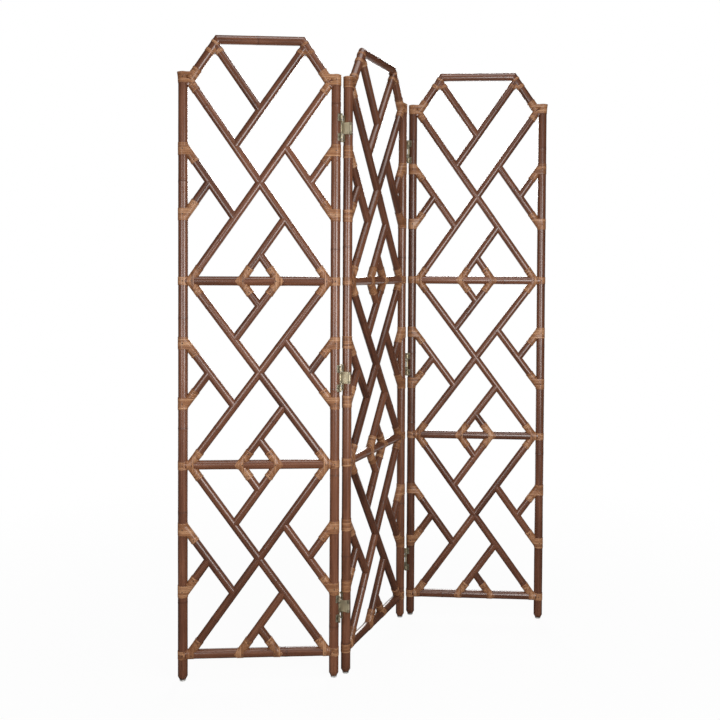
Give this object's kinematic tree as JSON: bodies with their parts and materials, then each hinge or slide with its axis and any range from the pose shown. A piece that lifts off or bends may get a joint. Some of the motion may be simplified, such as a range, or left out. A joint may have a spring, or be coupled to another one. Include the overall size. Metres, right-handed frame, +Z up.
{
  "type": "folding room divider",
  "caption": "Folding room divider of bound rattan poles: arched-top panels of open diagonal fretwork, joined by double action brass hinges, standing in a zigzag.",
  "frame": {"origin": "on the floor, under the middle of the divider's box as it stands", "axes": "+X to the right and +Y away from the viewer of the front, +Z up; the side panels lie within a few degrees of X and the middle panel runs to the back right"},
  "size_m": [1.1191, 0.4834, 1.8],
  "materials": {
    "rattan_pole": "reddish brown stained rattan with a satin lacquer",
    "rattan_peel": "tan rattan peel wound edge to edge, satin lacquer",
    "hinge_brass": "aged brass, satin",
    "screw_brass": "aged brass, dull",
    "tack_iron": "dark iron",
    "nail_steel": "plain steel",
    "glide_plastic": "pale grey"
  },
  "bodies": {
    "left_panel": {"left_panel_left_post": "rattan_pole", "left_panel_right_post": "rattan_pole", "left_panel_crest_rail": "rattan_pole", "left_panel_crest_shoulders": "rattan_pole", "left_panel_cross_rails": "rattan_pole", "left_panel_long_diagonals": "rattan_pole", "left_panel_half_diagonals": "rattan_pole", "left_panel_long_braces": "rattan_pole", "left_panel_short_braces": "rattan_pole", "left_panel_post_bindings": "rattan_peel", "left_panel_rail_bindings": "rattan_peel", "left_panel_crest_bindings": "rattan_peel", "left_panel_joint_nails": "nail_steel", "left_panel_binding_tacks": "tack_iron", "left_panel_foot_glides": "glide_plastic", "left_panel_hinge_leaves": "hinge_brass", "left_panel_hinge_links": "hinge_brass", "left_panel_hinge_pins": "hinge_brass", "left_panel_hinge_screws": "screw_brass"},
    "middle_panel": {"middle_panel_left_post": "rattan_pole", "middle_panel_right_post": "rattan_pole", "middle_panel_crest_rail": "rattan_pole", "middle_panel_crest_shoulders": "rattan_pole", "middle_panel_cross_rails": "rattan_pole", "middle_panel_long_diagonals": "rattan_pole", "middle_panel_half_diagonals": "rattan_pole", "middle_panel_long_braces": "rattan_pole", "middle_panel_short_braces": "rattan_pole", "middle_panel_post_bindings": "rattan_peel", "middle_panel_rail_bindings": "rattan_peel", "middle_panel_crest_bindings": "rattan_peel", "middle_panel_joint_nails": "nail_steel", "middle_panel_binding_tacks": "tack_iron", "middle_panel_foot_glides": "glide_plastic", "middle_panel_hinge_leaves": "hinge_brass", "middle_panel_hinge_links": "hinge_brass", "middle_panel_hinge_pins": "hinge_brass", "middle_panel_hinge_screws": "screw_brass"},
    "right_panel": {"right_panel_left_post": "rattan_pole", "right_panel_right_post": "rattan_pole", "right_panel_crest_rail": "rattan_pole", "right_panel_crest_shoulders": "rattan_pole", "right_panel_cross_rails": "rattan_pole", "right_panel_long_diagonals": "rattan_pole", "right_panel_half_diagonals": "rattan_pole", "right_panel_long_braces": "rattan_pole", "right_panel_short_braces": "rattan_pole", "right_panel_post_bindings": "rattan_peel", "right_panel_rail_bindings": "rattan_peel", "right_panel_crest_bindings": "rattan_peel", "right_panel_joint_nails": "nail_steel", "right_panel_binding_tacks": "tack_iron", "right_panel_foot_glides": "glide_plastic", "right_panel_hinge_leaves": "hinge_brass", "right_panel_hinge_links": "hinge_brass", "right_panel_hinge_pins": "hinge_brass", "right_panel_hinge_screws": "screw_brass"}
  },
  "joints": [
    {"name": "left_fold", "type": "hinge", "parent": "middle_panel", "child": "left_panel", "pos_m": [-0.10885, -0.18734, 0], "axis": [0, 0, 1], "range_deg": [-117.75, 62.25]},
    {"name": "right_fold", "type": "hinge", "parent": "middle_panel", "child": "right_panel", "pos_m": [0.10751, 0.2113, 0], "axis": [0, 0, 1], "range_deg": [-110.75, 69.25]}
  ]
}
